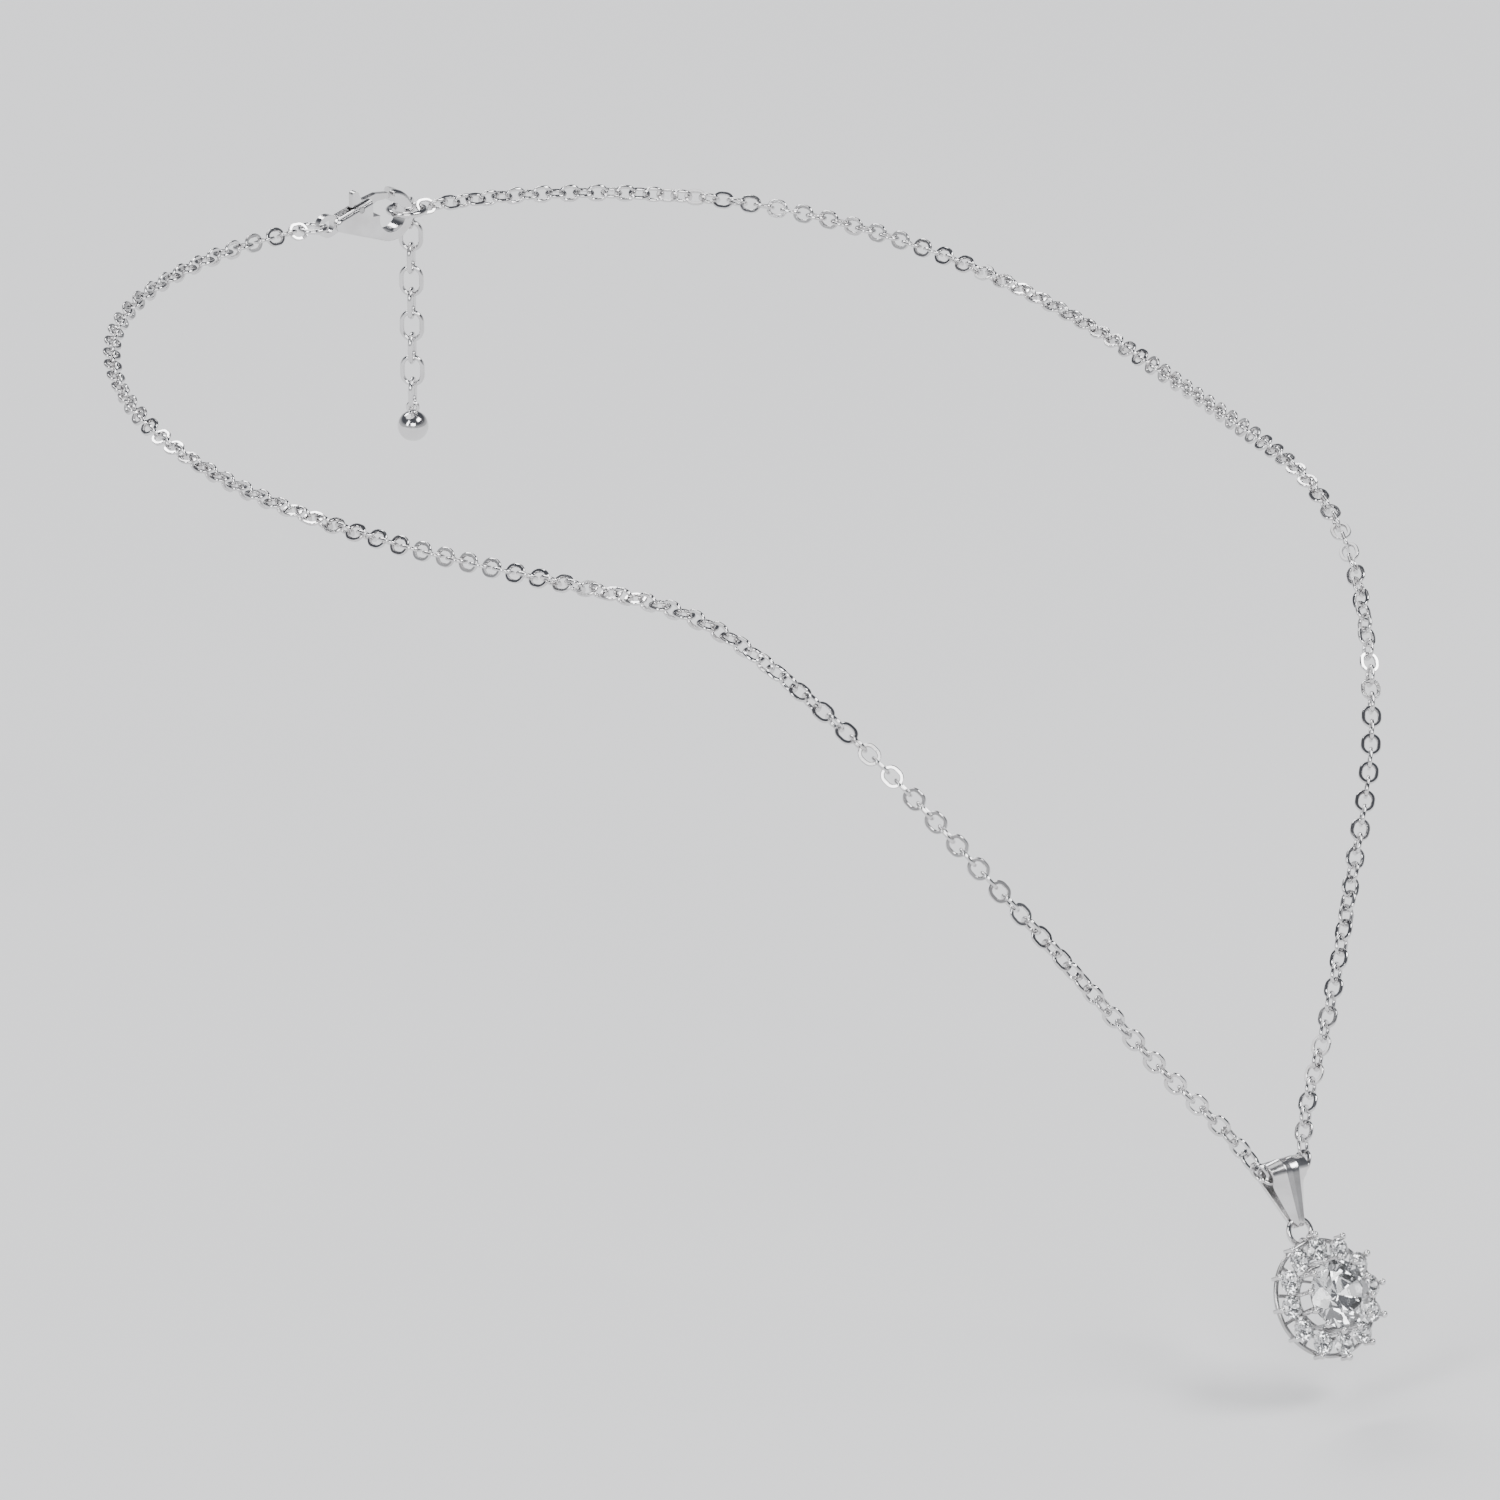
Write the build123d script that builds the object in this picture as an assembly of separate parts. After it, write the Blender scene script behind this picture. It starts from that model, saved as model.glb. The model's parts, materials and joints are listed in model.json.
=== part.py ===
"""Pendant necklace: a fine cable chain worn round a neck, with a faceted bail and a stone cluster.

Millimetres, +Z up. The origin is the middle of the neck that wears it. +X is to the right of somebody
who looks at the necklace from the front, and the front faces -Y. Every chain link is a solid of its own.
"""
from build123d import *
import math
import os

os.makedirs("parts", exist_ok=True)

# Chain: oval cable links, each turned a quarter turn from the last
LINK_LENGTH = 2.15
LINK_WIDTH = 1.80
LINK_WIRE = 0.38
LINK_SLACK = 0.035
PITCH = LINK_LENGTH - 2 * LINK_WIRE - LINK_SLACK

# Route of the right half, from the lowest point of the chain to the nape. The left half mirrors it.
APEX = (0.0, -98.6, -44.2)
TUNNEL_HALF = 2.2  # half of the straight stretch inside the bail
FRONT_POINTS = [
    (4.2, -96.2, -40.5),
    (8.0, -93.4, -35.7),
    (13.0, -89.6, -28.6),
    (17.0, -86.2, -22.6),
    (21.2, -82.6, -16.5),
    (25.0, -77.8, -10.4),
    (28.3, -72.2, -5.3),
    (31.0, -66.0, -1.3),
    (33.2, -58.0, 1.3),
    (36.4, -47.0, 1.6),
]
NAPE_POINTS = [
    (41.0, -31.0, 1.0),
    (44.8, -14.0, 0.9),
    (46.0, 4.1, 1.7),
    (42.6, 21.3, 3.2),
    (34.0, 35.1, 4.6),
    (22.0, 43.1, 5.4),
]
NAPE = (6.0, 46.49, 5.8)  # just past the last link of the right half
ROLL_START = 45.0  # degrees between the first link's plane and the upright
ROLL_SWING = 38.0  # degrees by which the chain twists to and fro along its length
ROLL_TURNS = 3.5
LEFT_ROLL = 100.0  # the left half lies turned by this much against the right
HINGE_LINK = 66  # links in each half up to the shoulder line, where the front swings
SHOULDER_LINKS = 10  # links on each side that rest on the shoulder
LINKS_A_NODE = 22

# Drop: bail, jump ring and pendant lean back with the chest that they lie on
DROP_LEAN = 28.0
BAIL_WIDTH = 4.0
BAIL_TIP_WIDTH = 0.8
BAIL_SHOULDER_Z = 0.2  # the sides run straight down to here, and taper from here to the tip
BAIL_INNER_R = 1.02
BAIL_BACK = 0.30
BAIL_FRONT = 0.52
BAIL_TIP_Z = -4.85
BAIL_TOE_R = 0.56
BAIL_TOE_INNER_R = 0.36
BAIL_TOE_AHEAD = 0.08  # the toe's rounding is centred this far in front of the tunnel
BAIL_TOE_REST = 0.08  # the toe's inner floor lies this far below the top of the jump ring's core
BAIL_BEVEL = 24.0
BAIL_RIDGE_TOP = 0.85  # half the distance between the two ridges, at the tunnel and at the tip
BAIL_RIDGE_TIP = 0.30
BAIL_RIDGE_FRONT = 0.58  # the ridges end this far in front of the tunnel's axis
BAIL_FLARE = 0.26  # the tunnel widens by this much at each mouth
BAIL_FLARE_DEPTH = 0.85
RING_R = 1.15
RING_WIRE = 0.5
RING_Z = -5.25
RING_PLAY = 0.02  # between the jump ring and the pendant's loop
LOOP_R = 0.56
LOOP_WIRE = 0.40
CLUSTER_Z = -11.3
CLUSTER_FRONT = 1.84  # the halo's girdles stand this far in front of the jump ring

# Cluster: one large round stone in a halo of small ones
CENTRE_D = 6.0
HALO_D = 2.0
HALO_R = 4.25
HALO_COUNT = 12
CENTRE_PROUD = 1.45
PRONG_WIRE = 0.38
PRONG_BALL = 0.56
OUTER_BALL_Z = 0.24  # above the halo's girdles
INNER_BALL_RISE = 0.30  # above the centre stone's girdle
PRONG_GAP = 0.02
RAIL_WIRE = 0.44
BAR_WIRE = 0.36  # spokes between the two rails
RAIL_DEPTH = 0.95  # rails lie this far behind the girdles of the halo
SEAT_R = 2.12
SEAT_WIRE = 0.34
SEAT_DEPTH = 1.15  # below the centre stone's girdle
STRUT_SIDE = 0.24
STRUT_COUNT = 6
STRUT_START = 15.0  # degrees, so that each strut stands at an inner prong

# Clasp and extender at the nape
CLASP_THICK = 1.9
CLASP_EDGE = 0.4  # rounding of the shell's edges
SLOT_WIDTH = 0.76
SLOT_PLAY = 0.08
PIN_R = 0.26
PIN_PLAY = 0.03
EYE_TO_HOOK = 6.9
EYE_R = 1.10
EYE_HOLE_R = 0.60
EYE_THICK = 0.8
EYE_PLAY = 0.25  # the eye's hole stands this far outside the clasp ring's core
HOOK_R = 2.55
HOOK_HOLE_R = 1.45
RING_NODE_GAP = 0.01  # between the last chain link and the ring that it hangs in
CLASP_RING_R = 1.25
CLASP_RING_WIRE = 0.5
END_RING_R = 1.75
END_RING_WIRE = 0.6
EXTENDER_LINKS = 9
EXTENDER_LENGTH = 3.2
EXTENDER_WIDTH = 2.4
EXTENDER_WIRE = 0.45
EXTENDER_SLACK = 0.04
EXTENDER_PITCH = EXTENDER_LENGTH - 2 * EXTENDER_WIRE - EXTENDER_SLACK
EXTENDER_TURN = 45.0  # degrees round the end ring from its outer side to where the extender hangs
BEAD_R = 1.5
BEAD_EYE_R = 0.50
BEAD_EYE_WIRE = 0.35
BEAD_JOIN = 0.12  # the eye sinks this far into the bead


def oval_link(length, width, wire):
    """One closed wire link, long axis along X, lying flat in the XY plane."""
    radius = (width - wire) / 2
    half = length / 2 - wire / 2 - radius
    path = Wire(
        [
            Line((-half, -radius), (half, -radius)),
            ThreePointArc((half, -radius), (half + radius, 0), (half, radius)),
            Line((half, radius), (-half, radius)),
            ThreePointArc((-half, radius), (-half - radius, 0), (-half, -radius)),
        ]
    )
    section = Plane((-half, -radius, 0), z_dir=(1, 0, 0)) * Circle(wire / 2)
    return sweep(section, path=path).solid()


def wire_ring(radius, wire, axis):
    """A closed round ring of wire about an axis through the origin."""
    return (Plane((0, 0, 0), z_dir=axis) * Torus(radius, wire / 2)).solid()


def walk(route, start, count, pitch):
    """Points along a route, each one pitch from the last in a straight line, from a start length."""
    length = start
    points = [route.position_at(length, position_mode=PositionMode.LENGTH)]
    for _ in range(count):
        step = pitch
        for _ in range(6):
            there = route.position_at(length + step, position_mode=PositionMode.LENGTH)
            step += pitch - (there - points[-1]).length
        length += step
        points.append(route.position_at(length, position_mode=PositionMode.LENGTH))
    return points


def link_plane(start, end, roll):
    """The plane of the link between two contact points: X along the chain, Z across the link."""
    along = (end - start).normalized()
    side = along.cross(Vector(0, 0, 1)).normalized()
    face = side.rotate(Axis((0, 0, 0), along), roll)
    return Plane((start + end) * 0.5, x_dir=along, z_dir=face)


def export(name, shape, colour):
    """Write one sub-part, made of one or more separate solids, under its node's name."""
    shape.label = name
    shape.color = Color(*colour)
    export_step(shape, f"parts/{name}.step")


SILVER = (0.80, 0.80, 0.82)
STONE = (0.92, 0.95, 1.0)
STEEL = (0.55, 0.55, 0.58)


# ---------------------------------------------------------------- chain
apex = Vector(*APEX)
tunnel_end = apex + Vector(TUNNEL_HALF, 0, 0)
first_nodes = [apex + Vector(PITCH * 0.5, 0, 0), apex + Vector(PITCH * 1.5, 0, 0)]
route = Wire([Line(first_nodes[1], tunnel_end), Spline([tunnel_end, *FRONT_POINTS, *NAPE_POINTS, NAPE])])
LINKS_A_SIDE = int(route.length / PITCH) + 1
nodes_right = [first_nodes[0], *walk(route, 0.0, LINKS_A_SIDE - 1, PITCH)]


def mirrored(point):
    return Vector(-point.X, point.Y, point.Z)


def roll_of(index):
    """Alternate links are at right angles, on a twist that wanders slowly to and fro."""
    twist = ROLL_SWING * math.sin(2 * math.pi * ROLL_TURNS * index / LINKS_A_SIDE)
    return ROLL_START + twist + 90 * (index % 2)


link = oval_link(LINK_LENGTH, LINK_WIDTH, LINK_WIRE)


def chain_links(side, first, last):
    """Links first to last - 1 of one half of the chain; side is 1 for right and -1 for left."""
    links = []
    for index in range(first, last):
        start, end = nodes_right[index - 1], nodes_right[index]
        roll = roll_of(index)
        if side < 0:
            start, end, roll = mirrored(start), mirrored(end), roll + LEFT_ROLL
        links.append(link_plane(start, end, roll) * link)
    return links


spans = []
first = 1
while first < HINGE_LINK:
    last = min(first + LINKS_A_NODE, HINGE_LINK)
    spans.append(("front", first, last))
    first = last
spans.append(("shoulder", HINGE_LINK, HINGE_LINK + SHOULDER_LINKS))
first = HINGE_LINK + SHOULDER_LINKS
while first < len(nodes_right):
    last = min(first + LINKS_A_NODE, len(nodes_right))
    spans.append(("nape", first, last))
    first = last

for side, side_name in ((1, "right"), (-1, "left")):
    counts = {"front": 0, "shoulder": 0, "nape": 0}
    for zone, first, last in spans:
        counts[zone] += 1
        links = Compound(children=chain_links(side, first, last))
        export(f"chain_{zone}_{side_name}_{counts[zone]}", links, SILVER)

centre_link = link_plane(mirrored(nodes_right[0]), nodes_right[0], roll_of(0)) * link
export("chain_centre_link", centre_link, SILVER)
print("links", 2 * (len(nodes_right) - 1) + 1, "half route", route.length)
print("hinge node", nodes_right[HINGE_LINK - 1])
print("nape hinge node", nodes_right[HINGE_LINK + SHOULDER_LINKS - 1])
print("last node", nodes_right[-1])
print("worn length", 2 * (PITCH * (LINKS_A_SIDE + 0.5) + nodes_right[-1].X))


# ---------------------------------------------------------------- bail
drop = Location(APEX, (-DROP_LEAN, 0, 0))


def teardrop(top_y, top_r, tip_y, tip_z, tip_r):
    """Side outline of the bail: a round top and a small round tip joined by straight legs."""
    top = Location((top_y, 0)) * Circle(top_r)
    tip = Location((tip_y, tip_z)) * Circle(tip_r)
    return make_hull([*top.edges(), *tip.edges()])


def make_bail():
    front = BAIL_INNER_R + BAIL_FRONT
    back = BAIL_INNER_R + BAIL_BACK
    outer_r = (front + back) / 2
    outer = teardrop((back - front) / 2, outer_r, -BAIL_TOE_AHEAD, BAIL_TIP_Z + BAIL_TOE_R, BAIL_TOE_R)
    inner = teardrop(0, BAIL_INNER_R, 0, RING_Z + RING_R - BAIL_TOE_REST, BAIL_TOE_INNER_R)
    side_view = Plane((0, 0, 0), x_dir=(0, 1, 0), z_dir=(1, 0, 0))
    body = extrude(side_view * outer, BAIL_WIDTH / 2, both=True)
    body -= extrude(side_view * inner, BAIL_WIDTH, both=True)

    # Each mouth is the inner half of a cone whose middle is in the end face.
    flare = Cone(BAIL_INNER_R, BAIL_INNER_R + 2 * BAIL_FLARE, 2 * BAIL_FLARE_DEPTH)
    body -= Location((BAIL_WIDTH / 2, 0, 0)) * Rotation(0, 90, 0) * flare
    body -= Location((-BAIL_WIDTH / 2, 0, 0)) * Rotation(0, -90, 0) * flare

    wide, narrow, top = BAIL_WIDTH / 2, BAIL_TIP_WIDTH / 2, outer_r + 0.1
    right_side = [(wide, top), (wide, BAIL_SHOULDER_Z), (narrow, BAIL_TIP_Z)]
    left_side = [(-x, z) for x, z in reversed(right_side)]
    outline = make_face(Polyline(*right_side, *left_side, close=True))
    front_view = Plane((0, 0, 0), x_dir=(1, 0, 0), z_dir=(0, -1, 0))
    body &= extrude(front_view * outline, 2 * front, both=True)

    bevel = math.radians(BAIL_BEVEL)
    for side in (1, -1):
        ridge_top = Vector(side * BAIL_RIDGE_TOP, -front, 0)
        ridge_tip = Vector(side * BAIL_RIDGE_TIP, -BAIL_RIDGE_FRONT, BAIL_TIP_Z)
        outward = Vector(side * math.cos(bevel), math.sin(bevel), 0)
        normal = (ridge_tip - ridge_top).cross(outward) * side
        facet = Plane(ridge_top, z_dir=normal)
        body = split(body, bisect_by=facet, keep=Keep.BOTTOM if normal.Y < 0 else Keep.TOP)
    return body.solid()


export("bail", drop * make_bail(), SILVER)


# ---------------------------------------------------------------- jump ring
jump_ring = Location((0, 0, RING_Z)) * wire_ring(RING_R, RING_WIRE, (0, 1, 0))
export("jump_ring", drop * jump_ring, SILVER)


# ---------------------------------------------------------------- stones
TABLE_SHARE = 0.57
GIRDLE_SHARE = 0.02
CROWN_ANGLE = 34.5
STAR_ANGLE = 21.0
CROWN_HALF_ANGLE = 41.0
PAVILION_ANGLE = 40.8
PAVILION_HALF_ANGLE = 42.2


def brilliant(diameter):
    """Round brilliant cut: table up +Z, girdle round the origin, culet down."""
    radius = diameter / 2
    girdle = GIRDLE_SHARE * diameter
    table = (1 - TABLE_SHARE) * radius * math.tan(math.radians(CROWN_ANGLE)) + girdle
    culet = radius * math.tan(math.radians(PAVILION_ANGLE))
    stone = Cylinder(radius, table + culet, align=(Align.CENTER, Align.CENTER, Align.MIN))
    stone = Location((0, 0, -culet)) * stone
    star_reach = TABLE_SHARE * radius * math.cos(math.pi / 8)
    facets = []
    for turn in range(8):
        facets.append((45 * turn, CROWN_ANGLE, radius, girdle, 1))
        facets.append((45 * turn + 22.5, STAR_ANGLE, star_reach, table, 1))
        facets.append((45 * turn, PAVILION_ANGLE, radius, 0, -1))
    for turn in range(16):
        facets.append((22.5 * turn + 11.25, CROWN_HALF_ANGLE, radius, girdle, 1))
        facets.append((22.5 * turn + 11.25, PAVILION_HALF_ANGLE, radius, 0, -1))
    for azimuth, slope, reach, height, way in facets:
        turn, tilt = math.radians(azimuth), math.radians(slope)
        out = Vector(math.cos(turn), math.sin(turn), 0)
        normal = out * math.sin(tilt) + Vector(0, 0, way * math.cos(tilt))
        facet = Plane(out * reach + Vector(0, 0, height), z_dir=normal)
        stone = split(stone, bisect_by=facet, keep=Keep.BOTTOM)
    return stone.solid()


# In the cluster's own frame +Z faces the viewer and +Y is up the drop.
cluster = drop * Location((0, -CLUSTER_FRONT, CLUSTER_Z), (90, 0, 0))


def round_the_halo(shape, radius, height, offset=0.0):
    """Copies of a shape, one for each halo stone, turned to face outwards along X."""
    step = 360 / HALO_COUNT
    out = Location((radius, 0, height))
    return [Rotation(0, 0, 90 + offset + step * index) * out * shape for index in range(HALO_COUNT)]


centre_stone = Location((0, 0, CENTRE_PROUD)) * brilliant(CENTRE_D)
export("centre_stone", cluster * centre_stone, STONE)
halo = [cluster * stone for stone in round_the_halo(brilliant(HALO_D), HALO_R, 0)]
export("halo_stones", Compound(children=halo), STONE)


# ---------------------------------------------------------------- setting
def prong(foot, tip):
    """A straight round prong from foot to tip height with a ball on top."""
    height = tip - foot
    rod = Cylinder(PRONG_WIRE / 2, height, align=(Align.CENTER, Align.CENTER, Align.MIN))
    ball = Location((0, 0, height)) * Sphere(PRONG_BALL / 2)
    return Location((0, 0, foot)) * (rod + ball)


outer_r = HALO_R + HALO_D / 2 + PRONG_WIRE / 2 + PRONG_GAP
outer_prong = prong(-RAIL_DEPTH, OUTER_BALL_Z)
outer_prongs = [cluster * p.solid() for p in round_the_halo(outer_prong, outer_r, 0)]
export("outer_prongs", Compound(children=outer_prongs), SILVER)

inner_r = CENTRE_D / 2 + PRONG_WIRE / 2 + PRONG_GAP
half_step = 180 / HALO_COUNT
inner_prong = prong(-RAIL_DEPTH, CENTRE_PROUD + INNER_BALL_RISE)
inner_prongs = [cluster * p.solid() for p in round_the_halo(inner_prong, inner_r, 0, half_step)]
export("inner_prongs", Compound(children=inner_prongs), SILVER)

rail_r = outer_r - PRONG_WIRE / 2 - RAIL_WIRE / 2 - PRONG_GAP
inner_rail_r = inner_r + PRONG_WIRE / 2 + RAIL_WIRE / 2 + PRONG_GAP
rail_level = Location((0, 0, -RAIL_DEPTH))
bar = Rotation(0, 90, 0) * Cylinder(BAR_WIRE / 2, rail_r - inner_rail_r)
bars = round_the_halo(bar, (rail_r + inner_rail_r) / 2, -RAIL_DEPTH, half_step)
gallery = rail_level * wire_ring(rail_r, RAIL_WIRE, (0, 0, 1))
gallery += rail_level * wire_ring(inner_rail_r, RAIL_WIRE, (0, 0, 1))
for each in bars:
    gallery += each
export("halo_gallery", cluster * gallery.solid(), SILVER)

basket_r = inner_r - PRONG_WIRE / 2 - RAIL_WIRE / 2 - PRONG_GAP
basket = rail_level * wire_ring(basket_r, RAIL_WIRE, (0, 0, 1))
basket += Location((0, 0, CENTRE_PROUD - SEAT_DEPTH)) * wire_ring(SEAT_R, SEAT_WIRE, (0, 0, 1))
rail_point = Vector(basket_r, 0, -RAIL_DEPTH)
seat_point = Vector(SEAT_R, 0, CENTRE_PROUD - SEAT_DEPTH)
rise = seat_point - rail_point
strut = Plane((rail_point + seat_point) / 2, z_dir=rise) * Box(STRUT_SIDE, STRUT_SIDE, rise.length)
for index in range(STRUT_COUNT):
    basket += Rotation(0, 0, STRUT_START + 360 / STRUT_COUNT * index) * strut
export("centre_basket", cluster * basket.solid(), SILVER)

loop_z = RING_Z - RING_R + RING_WIRE / 2 + RING_PLAY - (LOOP_R - LOOP_WIRE / 2)
pendant_loop = Location((0, 0, loop_z)) * wire_ring(LOOP_R, LOOP_WIRE, (1, 0, 0))
export("pendant_loop", drop * pendant_loop, SILVER)


# ---------------------------------------------------------------- clasp
# Both rings lie level, and the claw between them stands upright with its thumb nub on top.
chain_end = nodes_right[-1]
clasp_ring_x = -chain_end.X - CLASP_RING_WIRE / 2 + CLASP_RING_R + RING_NODE_GAP
eye_x = clasp_ring_x + CLASP_RING_R + EYE_PLAY
hook_x = eye_x + EYE_TO_HOOK
end_ring_x = chain_end.X + END_RING_WIRE / 2 - END_RING_R - RING_NODE_GAP
print("end ring wire stands in the hook at", end_ring_x - END_RING_R - hook_x)
level = Location((0, chain_end.Y, chain_end.Z))
clasp_ring = level * Location((clasp_ring_x, 0, 0)) * wire_ring(CLASP_RING_R, CLASP_RING_WIRE, (0, 0, 1))
end_ring = level * Location((end_ring_x, 0, 0)) * wire_ring(END_RING_R, END_RING_WIRE, (0, 0, 1))
export("clasp_ring", clasp_ring, SILVER)
export("end_ring", end_ring, SILVER)

# The clasp's own plane: X along the chain from the hook's middle, Y up. Each point below is in it.
clasp_plane = Plane((hook_x, chain_end.Y, chain_end.Z), x_dir=(1, 0, 0), z_dir=(0, -1, 0))
CLASP_TOP = 3.2  # above every edge of the shell
EYE_AT = (-EYE_TO_HOOK, 0)
NECK_AT, NECK_R = (-5.6, 0), 0.6  # the eye's tab runs into the shell here
TAIL_AT, TAIL_R = (-5.4, 0), 0.8  # the shell's narrow end
HOOK_HOLE_AT = (0, -0.15)
MOUTH_LOW, MOUTH_NOSE = (-2.2, 0.3), 0.3  # the mouth is cut from this corner to the hook's nose
SLOT_LOW, SLOT_END = (-4.7, 0.3), -1.0  # the lever's slot is cut from this corner to the mouth
PIN_AT = (-3.45, 1.15)
KNUCKLE_R = 0.66
NUB_AT, NUB_R = (-3.75, 2.55), 0.36
GATE_MID, GATE_MID_R = (-1.45, 1.95), 0.36
GATE_TIP, GATE_TIP_R = (-0.10, 1.92), 0.26
LEAF_POINTS = [(-4.62, 1.3), (-4.45, 0.75), (-3.9, 0.42), (-3.3, 0.40)]
LEAF_THICK = 0.12
PIN_SHORT = 0.04  # the pin ends just below the shell's faces


def disc(at, radius):
    return Location((*at, 0)) * Circle(radius)


def block(low, high):
    """A rectangle from one corner to the other."""
    return make_face(Polyline(low, (high[0], low[1]), high, (low[0], high[1]), close=True))


def bridge(first, second):
    """The hull of two discs."""
    return make_hull([*first.edges(), *second.edges()])


def flat(sketch, thickness):
    """A sketch thickened evenly to both sides of the clasp's middle plane."""
    return extrude(sketch, thickness / 2, both=True)


def make_clasp_body():
    shell = flat(bridge(disc((0, 0), HOOK_R), disc(TAIL_AT, TAIL_R)), CLASP_THICK)
    rims = shell.edges().filter_by(lambda edge: abs(abs(edge.center().Z) - CLASP_THICK / 2) < 0.01)
    body = fillet(rims, CLASP_EDGE)
    body += flat(bridge(disc(EYE_AT, EYE_R), disc(NECK_AT, NECK_R)), EYE_THICK)
    body -= flat(disc(EYE_AT, EYE_HOLE_R), CLASP_THICK)
    body -= flat(disc(HOOK_HOLE_AT, HOOK_HOLE_R), 2 * CLASP_THICK)
    body -= flat(block(MOUTH_LOW, (MOUTH_NOSE, CLASP_TOP)), 2 * CLASP_THICK)
    body -= flat(block(SLOT_LOW, (SLOT_END, CLASP_TOP)), SLOT_WIDTH)
    body -= flat(disc(PIN_AT, PIN_R + PIN_PLAY), 2 * CLASP_THICK)
    return body.solid()


def make_clasp_lever():
    """The sprung gate: an arm from the pin to the hook's nose, with a thumb nub over the pin."""
    knuckle, middle = disc(PIN_AT, KNUCKLE_R), disc(GATE_MID, GATE_MID_R)
    outline = bridge(knuckle, middle)
    outline += bridge(middle, disc(GATE_TIP, GATE_TIP_R))
    outline += bridge(knuckle, disc(NUB_AT, NUB_R))
    return flat(outline - disc(PIN_AT, PIN_R + PIN_PLAY), SLOT_WIDTH - SLOT_PLAY).solid()


def make_clasp_spring():
    """A leaf from the slot's back wall that curls under the knuckle."""
    leaf = trace(Spline(LEAF_POINTS), line_width=LEAF_THICK)
    return flat(leaf, SLOT_WIDTH - 2 * SLOT_PLAY).solid()


pin = Location((*PIN_AT, 0)) * Cylinder(PIN_R, CLASP_THICK - PIN_SHORT)
to_nape = clasp_plane.location
export("clasp_body", to_nape * make_clasp_body(), SILVER)
export("clasp_lever", to_nape * make_clasp_lever(), SILVER)
export("clasp_spring", to_nape * make_clasp_spring(), STEEL)
export("clasp_pivot_pin", to_nape * pin, STEEL)
print("eye at x", eye_x, "pin", (to_nape * Location((*PIN_AT, 0))).position)


# ---------------------------------------------------------------- extender
turn = math.radians(EXTENDER_TURN)
outwards = Vector(math.sin(turn), math.cos(turn), 0)
hang_z = chain_end.Z + END_RING_WIRE / 2 + RING_NODE_GAP
hang = Vector(end_ring_x, chain_end.Y, hang_z) + outwards * END_RING_R
big_link = oval_link(EXTENDER_LENGTH, EXTENDER_WIDTH, EXTENDER_WIRE)
down = Vector(0, 0, -1)
extender = []
for index in range(EXTENDER_LINKS):
    face = down.cross(outwards) if index % 2 == 0 else outwards
    middle = hang + down * (EXTENDER_PITCH * (index + 0.5))
    extender.append(Plane(middle, x_dir=down, z_dir=face) * big_link)
export("extender_chain", Compound(children=extender), SILVER)
print("extender hangs at", hang, "from the ring about", down.cross(outwards))

bead_hang = hang + down * (EXTENDER_PITCH * EXTENDER_LINKS)
bead_eye_z = BEAD_EYE_WIRE / 2 - BEAD_EYE_R
bead_face = outwards if EXTENDER_LINKS % 2 else down.cross(outwards)
bead_frame = Plane(bead_hang, x_dir=bead_face, z_dir=(0, 0, 1))
bead_eye = Location((0, 0, bead_eye_z)) * wire_ring(BEAD_EYE_R, BEAD_EYE_WIRE, (1, 0, 0))
bead = Location((0, 0, bead_eye_z - BEAD_EYE_R - BEAD_R + BEAD_JOIN)) * Sphere(BEAD_R)
export("extender_bead", bead_frame * (bead + bead_eye).solid(), SILVER)
print("bead hangs at", bead_hang)
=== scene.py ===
"""Pendant necklace: the visual model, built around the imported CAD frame.

Metres, in the frame's own axes: +Z up, the necklace's front faces -Y. Sizes of the wire work repeat the
driving dimensions of the part, and every place is read from the CAD nodes and joints.
"""

import json
import math

import bpy
import numpy as np
from mathutils import Matrix, Vector


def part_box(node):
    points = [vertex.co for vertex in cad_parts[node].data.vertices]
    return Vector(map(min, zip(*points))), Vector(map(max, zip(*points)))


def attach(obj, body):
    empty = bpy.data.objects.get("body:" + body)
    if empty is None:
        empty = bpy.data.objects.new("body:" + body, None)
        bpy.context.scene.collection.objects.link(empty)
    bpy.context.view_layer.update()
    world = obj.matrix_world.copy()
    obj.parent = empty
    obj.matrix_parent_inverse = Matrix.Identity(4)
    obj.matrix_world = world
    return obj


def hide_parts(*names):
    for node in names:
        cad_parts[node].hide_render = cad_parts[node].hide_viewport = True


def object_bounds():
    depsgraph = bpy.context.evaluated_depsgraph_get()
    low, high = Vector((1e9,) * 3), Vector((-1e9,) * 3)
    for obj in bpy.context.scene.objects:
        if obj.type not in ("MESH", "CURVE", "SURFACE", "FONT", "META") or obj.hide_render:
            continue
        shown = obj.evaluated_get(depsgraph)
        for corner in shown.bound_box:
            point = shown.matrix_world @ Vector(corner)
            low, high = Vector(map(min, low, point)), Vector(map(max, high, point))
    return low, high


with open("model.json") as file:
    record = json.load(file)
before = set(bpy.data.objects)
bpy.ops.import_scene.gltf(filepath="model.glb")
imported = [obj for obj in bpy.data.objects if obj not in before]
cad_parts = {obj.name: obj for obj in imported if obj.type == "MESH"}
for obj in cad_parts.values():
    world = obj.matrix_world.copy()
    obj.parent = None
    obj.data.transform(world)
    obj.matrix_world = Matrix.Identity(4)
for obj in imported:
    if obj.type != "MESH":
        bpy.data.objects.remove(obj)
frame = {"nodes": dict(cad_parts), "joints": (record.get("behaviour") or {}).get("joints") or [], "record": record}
cad_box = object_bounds()

MM = 0.001
joints = {joint["name"]: joint for joint in frame["joints"]}


# ---------------------------------------------------------------- camera, light and floor
VIEWPOINT = Vector((-0.5149, -0.7559, 0.2935))  # 0.9 m off, to the front left and above
LOOK_AT = Vector((-0.0280, -0.0583, -0.0115))
LENS = 250.0

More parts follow.
